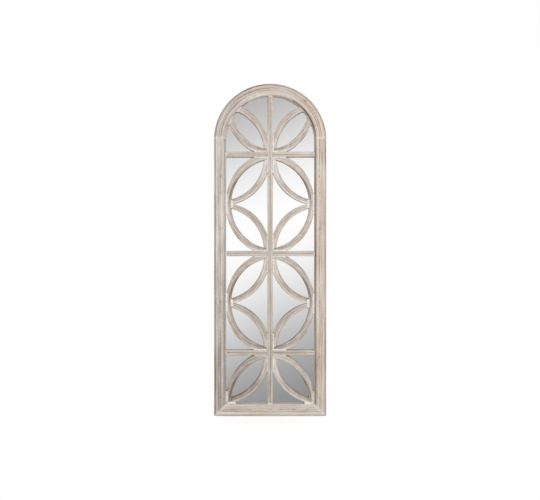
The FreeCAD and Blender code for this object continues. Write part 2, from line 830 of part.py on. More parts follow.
doc.recompute()
for item in doc.Objects:
    if "Invalid" in item.State or "Error" in item.State:
        raise RuntimeError(f"{item.Name} did not build: {item.State}")
for item in sub_parts:
    if item.Shape.isNull() or not item.Shape.isValid():
        raise RuntimeError(f"{item.Label} has no valid shape")

os.makedirs("parts", exist_ok=True)
for item in sub_parts:
    item.Shape.exportStep(f"parts/{item.Label}.step")
print(len(sub_parts), "sub-parts")
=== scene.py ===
import math

import bmesh
import bpy
from mathutils import Matrix, Vector, noise


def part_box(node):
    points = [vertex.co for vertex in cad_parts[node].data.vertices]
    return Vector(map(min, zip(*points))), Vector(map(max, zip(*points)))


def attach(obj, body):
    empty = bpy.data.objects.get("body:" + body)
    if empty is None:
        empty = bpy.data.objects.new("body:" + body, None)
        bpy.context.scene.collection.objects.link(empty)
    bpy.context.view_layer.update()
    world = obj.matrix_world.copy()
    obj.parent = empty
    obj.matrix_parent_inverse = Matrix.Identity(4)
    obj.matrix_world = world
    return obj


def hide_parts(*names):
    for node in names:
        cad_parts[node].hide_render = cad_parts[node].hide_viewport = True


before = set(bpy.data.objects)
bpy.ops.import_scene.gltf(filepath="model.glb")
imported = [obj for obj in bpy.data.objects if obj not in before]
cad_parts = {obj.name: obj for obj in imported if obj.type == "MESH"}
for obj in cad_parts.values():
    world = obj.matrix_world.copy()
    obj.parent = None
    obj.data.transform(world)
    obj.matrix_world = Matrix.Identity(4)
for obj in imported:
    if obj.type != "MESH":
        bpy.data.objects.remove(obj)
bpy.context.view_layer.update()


# The photographer's stand. The mirror is seen straight on, level with its middle, from 4 m, and it
# fills two thirds of the picture's height.
camera_data = bpy.data.cameras.new("camera")
camera_data.lens = 48.70
camera_data.sensor_width = 36.0
camera_data.clip_end = 60.0
camera = bpy.data.objects.new("camera", camera_data)
camera.location = (-0.0006, -4.0, 0.9012)
camera.rotation_euler = (math.radians(90), 0, 0)
bpy.context.scene.collection.objects.link(camera)
bpy.context.scene.camera = camera
bpy.context.scene.view_settings.view_transform = "Standard"


# The studio. A white surround, a pale floor that takes a faint shadow, and soft light from the
# front right and, for the back, from behind. What the pane mirrors is a white screen that falls
# off to grey above and below.
def linear(hex_colour):
    """A shader colour from an sRGB hex value."""
    channels = [int(hex_colour[at:at + 2], 16) / 255 for at in (1, 3, 5)]
    return [c / 12.92 if c <= 0.04045 else ((c + 0.055) / 1.055) ** 2.4 for c in channels] + [1.0]


def add_node(tree, kind, links=(), stops=(), **settings):
    """Adds one node. A link is an input's name or number, and the socket or the value that it gets.
    The stops of a row of colours are places from 0 to 1 and hex values."""
    node = tree.nodes.new(kind)
    for name, value in settings.items():
        setattr(node, name, value)
    for name, source in links:
        if isinstance(source, bpy.types.NodeSocket):
            tree.links.new(source, node.inputs[name])
        else:
            node.inputs[name].default_value = source
    if stops:
        elements = node.color_ramp.elements
        while len(elements) < len(stops):
            elements.new(0.5)
        for element, (place, colour) in zip(elements, stops):
            element.position = place
            element.color = linear(colour)
    return node


def start_finish(name):
    """A new material, with nothing in its tree yet."""
    material = bpy.data.materials.new(name)
    material.use_nodes = True
    material.node_tree.nodes.clear()
    return material, material.node_tree


world = bpy.data.worlds.new("studio")
bpy.context.scene.world = world
world.use_nodes = True
sky = world.node_tree
sky.nodes.clear()
ray = add_node(sky, "ShaderNodeLightPath")
towards = add_node(sky, "ShaderNodeTexCoord")
split = add_node(sky, "ShaderNodeSeparateXYZ", [("Vector", towards.outputs["Generated"])])
# the screen leans, so the pane's right half mirrors a little lower part of it than the left; the
# reaches are slopes of a ray, sideways and up
lean, lean_reach, screen_reach = -0.37, 0.08, 0.376
sideways = add_node(sky, "ShaderNodeClamp", [
    ("Value", split.outputs["X"]), ("Min", -lean_reach), ("Max", lean_reach)])
tilted = add_node(sky, "ShaderNodeMath", [
    (0, sideways.outputs["Result"]), (1, lean), (2, split.outputs["Z"])], operation="MULTIPLY_ADD")
screen_place = add_node(sky, "ShaderNodeMapRange", [
    ("Value", tilted.outputs["Value"]), ("From Min", -screen_reach), ("From Max", screen_reach)])
screen = add_node(sky, "ShaderNodeValToRGB", [("Fac", screen_place.outputs["Result"])], stops=[
    (0.17, "#868687"), (0.23, "#949495"), (0.28, "#A7A7A8"), (0.33, "#BEBEBF"), (0.38, "#D5D5D6"),
    (0.43, "#E9E9E9"), (0.48, "#F8F8F8"), (0.53, "#FFFFFF"), (0.57, "#FFFFFF"), (0.62, "#F6F6F6"),
    (0.67, "#E6E5E5"), (0.72, "#D0CFCF"), (0.78, "#B7B5B4"), (1.00, "#969696")])
seen_by_pane = add_node(sky, "ShaderNodeBackground", [("Color", screen.outputs[0]), ("Strength", 1.0)])
seen_directly = add_node(sky, "ShaderNodeBackground", [("Color", (1, 1, 1, 1)), ("Strength", 1.0)])
soft_light = add_node(sky, "ShaderNodeBackground", [("Color", linear("#F8F6F2")), ("Strength", 0.74)])
glossy_or_light = add_node(sky, "ShaderNodeMixShader", [
    (0, ray.outputs["Is Glossy Ray"]), (1, soft_light.outputs[0]), (2, seen_by_pane.outputs[0])])
surround = add_node(sky, "ShaderNodeMixShader", [
    (0, ray.outputs["Is Camera Ray"]), (1, glossy_or_light.outputs[0]), (2, seen_directly.outputs[0])])
add_node(sky, "ShaderNodeOutputWorld", [("Surface", surround.outputs[0])])

sweep = bmesh.new()
bmesh.ops.create_grid(sweep, x_segments=2, y_segments=2, size=6.0)
floor_data = bpy.data.meshes.new("floor")
sweep.to_mesh(floor_data)
sweep.free()
floor = bpy.data.objects.new("floor", floor_data)
bpy.context.scene.collection.objects.link(floor)
# matt white paint, as bright as the surround from 1.5 m off, so that the floor has no far edge
painted_floor, tree = start_finish("white_painted_floor")
ray = add_node(tree, "ShaderNodeLightPath")
matt = add_node(tree, "ShaderNodeBsdfDiffuse", [("Color", linear("#C9C9C9"))])
glow = add_node(tree, "ShaderNodeEmission", [("Color", (1, 1, 1, 1)), ("Strength", 0.55)])
lit = add_node(tree, "ShaderNodeAddShader", [(0, matt.outputs[0]), (1, glow.outputs[0])])
white = add_node(tree, "ShaderNodeEmission", [("Color", (1, 1, 1, 1)), ("Strength", 1.0)])
spot = add_node(tree, "ShaderNodeTexCoord")
far = add_node(tree, "ShaderNodeVectorMath", [(0, spot.outputs["Object"])], operation="LENGTH")
fading = add_node(tree, "ShaderNodeMapRange", [
    ("Value", far.outputs["Value"]), ("From Min", 0.5), ("From Max", 1.5)], interpolation_type="SMOOTHSTEP")
shown = add_node(tree, "ShaderNodeMixShader", [
    (0, fading.outputs["Result"]), (1, lit.outputs[0]), (2, white.outputs[0])])
see_through = add_node(tree, "ShaderNodeBsdfTransparent")
plain_or_shown = add_node(tree, "ShaderNodeMixShader", [
    (0, ray.outputs["Is Camera Ray"]), (1, matt.outputs[0]), (2, shown.outputs[0])])
floor_finish = add_node(tree, "ShaderNodeMixShader", [
    (0, ray.outputs["Is Glossy Ray"]), (1, plain_or_shown.outputs[0]), (2, see_through.outputs[0])])
add_node(tree, "ShaderNodeOutputMaterial", [("Surface", floor_finish.outputs[0])])
floor_data.materials.append(painted_floor)


def hang_softbox(name, place, width, height, watts):
    """A flat square lamp, turned to the mirror's middle."""
    lamp = bpy.data.lights.new(name, "AREA")
    lamp.shape = "RECTANGLE"
    lamp.size = width
    lamp.size_y = height
    lamp.energy = watts
    lamp.color = linear("#F4F7FF")[:3]
    softbox = bpy.data.objects.new(name, lamp)
    softbox.location = place
    softbox.rotation_euler = (Vector((0, 0, 0.9)) - Vector(place)).to_track_quat("-Z", "Y").to_euler()
    softbox.visible_glossy = False
    bpy.context.scene.collection.objects.link(softbox)


hang_softbox("front_softbox", (2.3, -3.6, 1.7), width=1.4, height=1.8, watts=104)
hang_softbox("back_softbox", (-2.0, 3.6, 2.4), width=2.0, height=2.0, watts=70)


# The frame. Fir mouldings, mitred at the foot and butted to a head sawn from three boards. The
# timber is stained brown, whitewashed and rubbed back: the wash stays in streaks along the grain,
# the stain in the grooves, and filler over the arch's joints. Painted shade darkens the grooves,
# corners, arrises and sides, and the inner slopes and walls carry painted shade and light.
def lay_along_grain(tree, place, grain):
    """Turns a place in the mirror into one on a board, with its length as z. The grain is an angle
    from +Z towards +X, or the centre (x, z) that it runs round and the side of that centre, 1 or -1,
    that the timber lies on."""
    if not isinstance(grain, tuple):
        return add_node(tree, "ShaderNodeMapping", [
            ("Vector", place), ("Rotation", (0, math.radians(-grain), 0))]).outputs[0]
    x, z, side = grain
    from_centre = add_node(tree, "ShaderNodeMapping", [
        ("Vector", place), ("Location", (-x * side, 0, -z)), ("Scale", (side, 1, 1))])
    axes = add_node(tree, "ShaderNodeSeparateXYZ", [("Vector", from_centre.outputs[0])])
    flat = add_node(tree, "ShaderNodeCombineXYZ", [("X", axes.outputs["X"]), ("Z", axes.outputs["Z"])])
    out = add_node(tree, "ShaderNodeVectorMath", [(0, flat.outputs[0])], operation="LENGTH")
    turned = add_node(tree, "ShaderNodeMath", [
        (0, axes.outputs["Z"]), (1, axes.outputs["X"])], operation="ARCTAN2")
    # an angle becomes a length at a quarter of a metre from the centre
    arc = add_node(tree, "ShaderNodeMath", [(0, turned.outputs[0]), (1, 0.25)], operation="MULTIPLY")
    return add_node(tree, "ShaderNodeCombineXYZ", [
        ("X", out.outputs["Value"]), ("Y", axes.outputs["Y"]), ("Z", arc.outputs[0])]).outputs[0]


def wipe_and_wear(tree, place, cover, wiped, worn):
    """Adds wash along the lines (x, z, angle) where a rag or a finger wiped it or filler on, and
    takes it off the spots (x, z, half width, half height), most of them rubbed bare."""
    # cover runs from 0, bare, to 1
    wiped_on, worn_off = 0.09, -0.14
    for x, z, angle in wiped:
        # full for 4 mm to either side of the line, and none from 9 mm
        square_to = (-math.sin(math.radians(angle)), 0, math.cos(math.radians(angle)))
        level = add_node(tree, "ShaderNodeVectorMath", [(0, place), (1, square_to)], operation="DOT_PRODUCT")
        off = add_node(tree, "ShaderNodeMath", [
            (0, level.outputs["Value"]), (1, square_to[0] * x + square_to[2] * z)], operation="SUBTRACT")
        away = add_node(tree, "ShaderNodeMath", [(0, off.outputs[0])], operation="ABSOLUTE")
        wipe = add_node(tree, "ShaderNodeMapRange", [
            ("Value", away.outputs[0]), ("From Min", 0.009), ("From Max", 0.004)])
        cover = add_node(tree, "ShaderNodeMath", [
            (0, wipe.outputs[0]), (1, wiped_on), (2, cover)], operation="MULTIPLY_ADD").outputs[0]
    for x, z, wide, high in worn:
        spot = add_node(tree, "ShaderNodeMapping", [
            ("Vector", place), ("Scale", (1 / wide, 0, 1 / high)), ("Location", (-x / wide, 0, -z / high))])
        rubbed = add_node(tree, "ShaderNodeTexGradient", [
            ("Vector", spot.outputs[0])], gradient_type="SPHERICAL")
        cover = add_node(tree, "ShaderNodeMath", [
            (0, rubbed.outputs["Fac"]), (1, worn_off), (2, cover)], operation="MULTIPLY_ADD").outputs[0]
    return cover


def tint_and_shade_moulding(tree, board, colour, edge, tints_and_shades):
    """Darkens the bands of a moulding where the brush left less wash: its rim and its outer step.
    Its inner slope is darkened as painted shade, most where it faces away from the light, and the
    wall beside the glass is mixed toward a paler or darker colour of painted light and shade. The
    edge is where the moulding's outer and inner edge lie across the grain."""
    rim, step, slope, wall = tints_and_shades
    across = add_node(tree, "ShaderNodeSeparateXYZ", [("Vector", board)])
    inwards = add_node(tree, "ShaderNodeMapRange", [
        ("Value", across.outputs["X"]), ("From Min", edge[0]), ("From Max", edge[1])])
    bands = add_node(tree, "ShaderNodeValToRGB", [("Fac", inwards.outputs[0])], stops=[
        (0.0, "#FFFFFF"), (0.005, rim), (0.025, rim), (0.06, step), (0.14, step), (0.17, "#FFFFFF"),
        (0.80, "#FFFFFF"), (0.87, slope), (0.95, slope), (0.985, "#FFFFFF")])
    banded = add_node(tree, "ShaderNodeMix", [
        (0, 1.0), (6, colour), (7, bands.outputs[0])], data_type="RGBA", blend_type="MULTIPLY")
    # the wall's painted light and shade, mixed in over its last few millimetres
    wall_painted_light = add_node(tree, "ShaderNodeMapRange", [
        ("Value", inwards.outputs[0]), ("From Min", 0.985), ("From Max", 0.998), ("To Max", 0.7)])
    return add_node(tree, "ShaderNodeMix", [
        (0, wall_painted_light.outputs[0]), (6, banded.outputs[2]), (7, linear(wall))], data_type="RGBA").outputs[2]


def whitewashed_fir(name, grain, wash, seed=0.0, sides=1.0, patchy=0.25, speckled=0.12, even=1.2,
                    edge=None, tints_and_shades=None, wiped=(), worn=()):
    """Matt whitewash, brushed over brown stain on fir and rubbed back. It shows as pale streaks along
    the grain, with the stain between them. Corners, arrises and sides are darkened toward the stain
    colour as painted shade.
    The wash is four colours, from bare stain to thick wash. Sides is how much of the wash's colour
    the sides keep against that painted shade, patchy and speckled are how far it lies in patches and
    specks and not in streaks, and even is how evenly it was rubbed back."""
    material, tree = start_finish(name)
    place = add_node(tree, "ShaderNodeTexCoord").outputs["Object"]
    board = lay_along_grain(tree, place, grain)
    # streaks 7 mm wide and some 300 mm long, where real ones are half as wide: finer ones don't show
    along = add_node(tree, "ShaderNodeMapping", [
        ("Vector", board), ("Scale", (145, 145, 3.5)), ("Location", (seed * 90, 0, seed * 50))])
    streak = add_node(tree, "ShaderNodeTexNoise", [
        ("Vector", along.outputs[0]), ("Scale", 1.0), ("Detail", 3.0), ("Roughness", 0.62)]).outputs["Fac"]
    # patches some 40 mm wide and 120 mm long, where more of the wash was rubbed away
    broad = add_node(tree, "ShaderNodeMapping", [
        ("Vector", board), ("Scale", (25, 25, 8)), ("Location", (seed * 70, 0, seed * 30))])
    patch = add_node(tree, "ShaderNodeTexNoise", [
        ("Vector", broad.outputs[0]), ("Scale", 1.0), ("Detail", 4.0), ("Roughness", 0.6)]).outputs["Fac"]
    # specks of 8 mm, where the brush skipped
    speck = add_node(tree, "ShaderNodeTexNoise", [
        ("Vector", board), ("Scale", 120.0), ("Detail", 2.0), ("Roughness", 0.5)]).outputs["Fac"]
    cover = add_node(tree, "ShaderNodeMath", [
        (0, streak), (1, 1 - patchy - speckled)], operation="MULTIPLY").outputs[0]
    for layer, share in ((patch, patchy), (speck, speckled)):
        cover = add_node(tree, "ShaderNodeMath", [
            (0, layer), (1, share), (2, cover)], operation="MULTIPLY_ADD").outputs[0]
    cover = wipe_and_wear(tree, place, cover, wiped, worn)
    colour = add_node(tree, "ShaderNodeValToRGB", [("Fac", cover)], stops=[
        (0.5 + above * even, tone) for above, tone in zip((-0.14, -0.06, 0.02, 0.12), wash)]).outputs[0]
    if edge:
        colour = tint_and_shade_moulding(tree, board, colour, edge, tints_and_shades)
    # painted shade: darker toward the bare stain in corners, up to 5 mm from them, and on arrises and
    # sides, the more they turn from the front; in the grooves this also stands for the stain left there
    recess = add_node(tree, "ShaderNodeAmbientOcclusion", [("Distance", 0.005)], samples=6)
    open_air = add_node(tree, "ShaderNodeMapRange", [
        ("Value", recess.outputs["AO"]), ("From Min", 0.2), ("From Max", 0.7), ("To Min", 0.8)])
    facing = add_node(tree, "ShaderNodeSeparateXYZ", [
        ("Vector", add_node(tree, "ShaderNodeTexCoord").outputs["Normal"])])
    frontal = add_node(tree, "ShaderNodeMapRange", [
        ("Value", facing.outputs["Y"]), ("From Min", -0.5), ("From Max", -0.85), ("To Min", sides)])
    unshaded = add_node(tree, "ShaderNodeMath", [
        (0, open_air.outputs[0]), (1, frontal.outputs[0])], operation="MULTIPLY")
    shaded_toward_stain = add_node(tree, "ShaderNodeMix", [
        (0, unshaded.outputs[0]), (6, linear(wash[0])), (7, colour)], data_type="RGBA")
    matt = add_node(tree, "ShaderNodeMapRange", [("Value", speck), ("To Min", 0.62), ("To Max", 0.84)])
    pits = add_node(tree, "ShaderNodeBump", [("Strength", 0.3), ("Distance", 0.001), ("Height", streak)])
    surface = add_node(tree, "ShaderNodeBsdfPrincipled", [
        ("Base Color", shaded_toward_stain.outputs[2]), ("Roughness", matt.outputs[0]), ("IOR", 1.45),
        ("Normal", pits.outputs[0])])
    add_node(tree, "ShaderNodeOutputMaterial", [("Surface", surface.outputs[0])])
    return material


def set_in_place(shape, name, finish, slot, *nodes, body="mirror"):
    """Makes a shape a piece of the mirror, in the room of the solids that it stands for."""
    bmesh.ops.recalc_face_normals(shape, faces=shape.faces[:])
    data = bpy.data.meshes.new(name)
    shape.to_mesh(data)
    shape.free()
    data.shade_smooth()
    data.set_sharp_from_angle(angle=math.radians(35))
    data.materials.append(finish)
    piece = bpy.data.objects.new(name, data)
    bpy.context.scene.collection.objects.link(piece)
    shading = piece.modifiers.new("flat_faces_stay_flat", "WEIGHTED_NORMAL")
    shading.keep_sharp = True
    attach(piece, body)
    if nodes:
        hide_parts(*nodes)


half_width, full_height, face = 0.3048, 1.8034, 0.0635
spring = full_height - half_width
sight = half_width - face
# the moulding cutter: millimetres in from the outer edge, forwards from the back, and each arris's ease
moulding = [
    (0, 0, 0.5), (0, 36, 2.5), (9.5, 36, 0.7), (9.5, 41, 1.2), (23, 41, 0.9), (25.25, 38, 0.6),
    (27.5, 41, 1.2), (34, 41, 1.2), (35.5, 36.8, 0.4), (37, 38.8, 0.8), (54.5, 38, 2.4),
    (59.5, 36, 2.4), (63.5, 31, 1.5), (63.5, 9, 0), (53.5, 9, 0), (53.5, 5, 0), (41.5, 5, 0),
    (41.5, 0, 0.5),
]


def cut_moulding(side):
    """The cutter's outline as a loop of edges, laid across the right (1) or left (-1) stile."""
    outline = bmesh.new()
    corners = [outline.verts.new((side * (half_width - a / 1000), -b / 1000, 0)) for a, b, _ in moulding]
    outline.faces.new(corners)
    for corner, (_, _, ease) in zip(corners, moulding):
        if ease:
            bmesh.ops.bevel(outline, geom=[corner], offset=ease / 1000, offset_type="OFFSET", segments=3,
                            profile=0.5, affect="VERTICES", clamp_overlap=True, material=-1)
    bmesh.ops.delete(outline, geom=outline.faces[:], context="FACES_ONLY")
    return outline


def run_on(outline, edges, along):
    """Draws a loop of edges out in a straight line, and gives the new loop."""
    drawn = bmesh.ops.extrude_edge_only(outline, edges=edges)["geom"]
    bmesh.ops.translate(outline, verts=[v for v in drawn if isinstance(v, bmesh.types.BMVert)], vec=along)
    return [e for e in drawn if isinstance(e, bmesh.types.BMEdge) and e.is_boundary]


def run_round(outline, edges, centre, axis, degrees, steps):
    """Draws a loop of edges round a bend, and gives the new loop."""
    drawn = bmesh.ops.spin(outline, geom=edges, cent=centre, axis=axis, dvec=(0, 0, 0),
                           angle=math.radians(degrees), steps=steps, use_merge=False)["geom_last"]
    return [e for e in drawn if isinstance(e, bmesh.types.BMEdge)]


def saw_joint(timber, point, outwards):
    """Saws a moulding off at a joint and takes the arris off the cut, so the joint is a fine V."""
    ease = 0.0007
    outwards = Vector(outwards).normalized()
    whole = timber.verts[:] + timber.edges[:] + timber.faces[:]
    sawn = bmesh.ops.bisect_plane(timber, geom=whole, dist=1e-6, plane_co=Vector(point) - outwards * ease,
                                  plane_no=outwards, clear_outer=True)["geom_cut"]
    rim = [e for e in sawn if isinstance(e, bmesh.types.BMEdge)]
    end = bmesh.ops.edgeloop_fill(timber, edges=rim)["faces"]
    for cut in end:
        cut.normal_update()
        if cut.normal.dot(outwards) < 0:
            cut.normal_flip()
    bmesh.ops.inset_region(timber, faces=end, thickness=ease, depth=ease, use_boundary=True,
                           use_even_offset=True)


# each wash from bare stain to thick wash; the left stile's is cooler, and darker toward its foot
frame_wash = ("#93826F", "#BFAD9B", "#CFC4B8", "#E1DAD1")
cool_wash = ("#A3988D", "#BCB2A9", "#D3CBC4", "#E6E2DD")
# the stiles run on up to joints that lie 2.5 degrees above the springing, and both have spots worn
# bare along their groove
joint_rise = 2.5
# the tints run rim, step, slope, wall; the slopes' are painted shade, darkest on the right, which faces away
# from the light, and the walls' are painted light on the right and shade on the left
for side, name, wash, tints_and_shades, darker_foot in (
        (-1, "stile_left", cool_wash, ("#FFFFFF", "#E8E1DA", "#CDCCCC", "#C9C2BA"),
         [(-0.272, 0.10, 0.06, 0.85)]),
        (1, "stile_right", frame_wash, ("#DDD5CD", "#E2DAD2", "#C8BEB2", "#F4EEE6"), [])):
    stile = cut_moulding(side)
    loop = run_on(stile, stile.edges[:], (0, 0, spring))
    run_round(stile, loop, (0, 0, spring), (0, -side, 0), joint_rise * 2, 2)
    tilt = math.radians(joint_rise)
    saw_joint(stile, (side * half_width, 0, 0), (-side, 0, -1))
    saw_joint(stile, (0, 0, spring), (-side * math.sin(tilt), 0, math.cos(tilt)))
    finish = whitewashed_fir(
        "whitewashed_fir_" + name, 0, wash, seed=side * 0.7, edge=(side * half_width, side * sight),
        tints_and_shades=tints_and_shades, wiped=[(side * half_width, 0, -45 * side), (0, spring, joint_rise * side)],
        worn=[(side * 0.2685, z, 0.006, 0.012) for z in (0.10, 0.32, 0.62, 1.02, 1.21, 1.30)] + darker_foot)
    set_in_place(stile, name + "_moulding", finish, "frame_timber", name)

rail = cut_moulding(1)
bmesh.ops.rotate(rail, verts=rail.verts[:], cent=(0, 0, 0), matrix=Matrix.Rotation(math.radians(90), 3, "Y"))
bmesh.ops.translate(rail, verts=rail.verts[:], vec=(-half_width, 0, half_width))
run_on(rail, rail.edges[:], (half_width * 2, 0, 0))
for side in (-1, 1):
    saw_joint(rail, (side * half_width, 0, 0), (side, 0, 1))
rail_wash = ("#93826F", "#C6B5A3", "#D5CABE", "#E6DFD6")
# both mitres are filled, and more wash was wiped along the outer band; the wall's tint is painted shade
finish = whitewashed_fir(
    "whitewashed_fir_bottom_rail", 90, rail_wash, seed=0.31, edge=(0.0, -face),
    tints_and_shades=("#C8C0B8", "#FFFFFF", "#FFFFFF", "#D9D2C9"),
    wiped=[(-half_width, 0, 45), (half_width, 0, -45), (0, 0.014, 0)],
    worn=[(x, 0.036, 0.016, 0.005) for x in (-0.20, -0.11, 0.0, 0.06, 0.13, 0.20)])
set_in_place(rail, "bottom_rail_moulding", finish, "frame_timber", "bottom_rail")

crown_wash = ("#907F6D", "#BDAC9C", "#CEC3B6", "#E0D9CF")
arch_wash = ("#8D7F70", "#BAABA0", "#CDC3BA", "#E0D9D3")
# each segment is turned with a little waste past its joints, which the saw takes off
arch_span, waste = (180 - joint_rise * 2) / 3, 2
right_joint, left_joint = [(0, spring, joint_rise)], [(0, spring, 180 - joint_rise)]
# the slopes' tints are painted shade, darkest on the right, and the walls' are painted light on the right and
# at the crown, and painted shade on the left
for number, (name, wash, tints_and_shades, wiped, worn) in enumerate((
        ("arch_right", frame_wash, ("#B0A8A1", "#F0EAE4", "#CBC2B9", "#F8F3EC"), right_joint,
         [(0.19, 1.709, 0.012, 0.010)]),
        ("arch_crown", crown_wash, ("#ABA39C", "#DCD5CF", "#FFFFFF", "#FAF5EE"), [], []),
        ("arch_left", arch_wash, ("#B9B1AA", "#F4F0EC", "#F4F0EC", "#D2CBC3"), left_joint, []))):
    first = joint_rise + arch_span * number
    segment = cut_moulding(1)
    bmesh.ops.translate(segment, verts=segment.verts[:], vec=(0, 0, spring))
    bmesh.ops.rotate(segment, verts=segment.verts[:], cent=(0, 0, spring),
                     matrix=Matrix.Rotation(math.radians(waste - first), 3, "Y"))
    run_round(segment, segment.edges[:], (0, 0, spring), (0, -1, 0), arch_span + waste * 2, 34)
    for angle, turn in ((math.radians(first), -1), (math.radians(first + arch_span), 1)):
        saw_joint(segment, (0, 0, spring), (-turn * math.sin(angle), 0, turn * math.cos(angle)))
    # one seed for all three: the wash was brushed round the joined head
    finish = whitewashed_fir(
        "whitewashed_fir_" + name, (0, spring, 1), wash, seed=0.1, patchy=0.15, even=0.95,
        edge=(half_width, sight), tints_and_shades=tints_and_shades, wiped=wiped, worn=worn)
    set_in_place(segment, name + "_moulding", finish, "frame_timber", name)


# The lattice bars. Fir with a groove along the middle, halved into each other and let into the
# frame. Sandpaper has rounded their front arrises.
def sanded_copy(node, ease):
    """The form of a solid, with the arrises of its front rounded."""
    shape = bmesh.new()
    shape.from_mesh(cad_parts[node].data)
    bmesh.ops.remove_doubles(shape, verts=shape.verts[:], dist=0.00001)
    bmesh.ops.dissolve_limit(shape, angle_limit=math.radians(0.4), verts=shape.verts[:], edges=shape.edges[:])
    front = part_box(node)[0].y
    arrises = [
        edge for edge in shape.edges
        if len(edge.link_faces) == 2 and edge.calc_face_angle() > math.radians(20)
        and all(corner.co.y < front + 0.0001 for corner in edge.verts)
    ]
    bmesh.ops.bevel(shape, geom=arrises, offset=ease, offset_type="OFFSET", segments=3, profile=0.5,
                    affect="EDGES", clamp_overlap=True, material=-1)
    return shape


lattice_wash = ("#877B6F", "#B9AB9D", "#CCC2B7", "#E0DAD2")
for name, grain, seed in (
        ("mullion", 0, 0.7), ("lattice_rail_upper", 90, 1.8), ("lattice_rail_middle", 90, 1.9),
        ("lattice_rail_lower", 90, 1.8)):
    # the bars' sides keep less of the wash colour, as painted shade
    finish = whitewashed_fir(
        "whitewashed_fir_" + name, grain, lattice_wash, seed=seed, sides=0.7, patchy=0.35)
    set_in_place(sanded_copy(name, 0.0015), name + "_bar", finish, "lattice_timber", name)


# The strips. Eight hoop strips and twelve petal strips, sawn to a curve from thin fir boards and
# glued down on the glass. Their wash is darker than the bars', and darker again in the middle and
# lower rows, most of all at the left of the foot.
strip_wash = ("#766B60", "#AD9E8F", "#C6BBB0", "#DDD6CE")
darker_wash = ("#716559", "#A59586", "#C0B4A8", "#DAD2C8")
foot_wash = ("#6A5F54", "#95877A", "#B3A699", "#D3CBC2")
washes = {
    "hoop_foot_left": foot_wash, "petal_lower_below_left": foot_wash,
    "petal_middle_above_left": darker_wash, "hoop_lower_left": darker_wash,
    "hoop_lower_right": darker_wash, "petal_middle_below_left": darker_wash,
    "petal_middle_below_right": darker_wash, "petal_lower_above_left": darker_wash,
    "petal_lower_above_right": darker_wash,
}
# the upper cross bar's height and the way down to the next; a hoop's centre is half that way off
upper_rail, rail_gap = 1.422, 0.540
rail_heights = [upper_rail - rail_gap * number for number in range(3)]
hoop_heights = [upper_rail + rail_gap * (0.5 - number) for number in range(4)]
# a petal's centre lies this far out from its crossing, and up or down from it
petal_out, petal_up = 0.272, 0.014
rounds = {}
for side, across in (("left", -1), ("right", 1)):
    for row, height in zip(("arch", "upper", "lower", "foot"), hoop_heights):
        rounds[f"hoop_{row}_{side}"] = (0, height, across)
    for row, height in zip(("upper", "middle", "lower"), rail_heights):
        for way, up in (("above", 1), ("below", -1)):
            rounds[f"petal_{row}_{way}_{side}"] = (across * petal_out, height + up * petal_up, -across)
for name, centre in rounds.items():
    # the strips' sides keep even less of the wash colour, as painted shade
    finish = whitewashed_fir(
        "whitewashed_fir_" + name, centre, washes.get(name, strip_wash), sides=0.4, patchy=0.4,
        speckled=0.1, even=1.0)
    set_in_place(sanded_copy(name, 0.002), name + "_strip", finish, "lattice_timber", name)


# The filler. Whitewashed putty, pressed with a finger into the corners where the strips meet the
# bars, the stiles and the arch. It dries paler than the timber.
putty, tree = start_finish("whitewashed_putty")
place = add_node(tree, "ShaderNodeTexCoord").outputs["Object"]
# chalky white, with greyer finger marks of 10 mm
dab = add_node(tree, "ShaderNodeTexNoise", [
    ("Vector", place), ("Scale", 100.0), ("Detail", 3.0), ("Roughness", 0.6)]).outputs["Fac"]
colour = add_node(tree, "ShaderNodeValToRGB", [("Fac", dab)], stops=[
    (0.34, "#CAC3BB"), (0.46, "#E0DBD5"), (0.62, "#F0EDE9")])
marks = add_node(tree, "ShaderNodeBump", [("Strength", 0.4), ("Distance", 0.001), ("Height", dab)])
surface = add_node(tree, "ShaderNodeBsdfPrincipled", [
    ("Base Color", colour.outputs[0]), ("Roughness", 0.85), ("IOR", 1.45), ("Normal", marks.outputs[0])])
add_node(tree, "ShaderNodeOutputMaterial", [("Surface", surface.outputs[0])])

strips_front, bars_front = -0.024, -0.027


def press_filler(filler, start, out, width, rise, along=None, round_arch=0, front=strips_front):
    """A fillet against a wall, from a start (x, z), along a length (x, z) or round the arch by some
    degrees. It reaches a width out from the wall, and climbs it by the rise from the timber's front."""
    into_wall, behind, feather = 0.0004, 0.002, 0.0002
    first = Vector((start[0], front, start[1]))
    out = Vector((out[0], 0, out[1])).normalized()
    edge = [first + out * reach + Vector((0, back, 0)) for reach, back in (
        (-into_wall, behind), (-into_wall, -rise), (width * 0.4, -rise * 0.95),
        (width * 0.8, -rise * 0.75), (width, -feather), (width, behind))]
    section = filler.faces.new([filler.verts.new(point) for point in edge])
    whole = [section] + section.edges[:] + section.verts[:]
    if round_arch:
        bmesh.ops.spin(filler, geom=whole, cent=(0, 0, spring), axis=(0, -1, 0), dvec=(0, 0, 0),
                       angle=math.radians(round_arch), steps=12, use_merge=False)
        return
    step, thinned, thinning = 0.003, 0.006, 0.6
    stretch = Vector((along[0], 0, along[1]))
    steps = max(4, round(stretch.length / step))
    before = len(filler.verts) - len(edge)
    bmesh.ops.spin(filler, geom=whole, cent=(0, 0, 0), axis=(0, -1, 0), dvec=stretch / steps,
                   angle=0, steps=steps, use_merge=False)
    filler.verts.ensure_lookup_table()
    for corner in filler.verts[before:]:
        # the finger left each end thin
        run = (corner.co - first).dot(stretch.normalized())
        thin = max(0.0, 1 - min(run, stretch.length - run) / thinned)
        corner.co -= out * (corner.co - first).dot(out) * thinning * thin ** 2


filler = bmesh.new()
# half a bar's width, a start just past the mullion's side, and how far the filler runs
bar, past_mullion, mullion_run, rail_run = 0.0143, 0.016, 0.090, 0.070
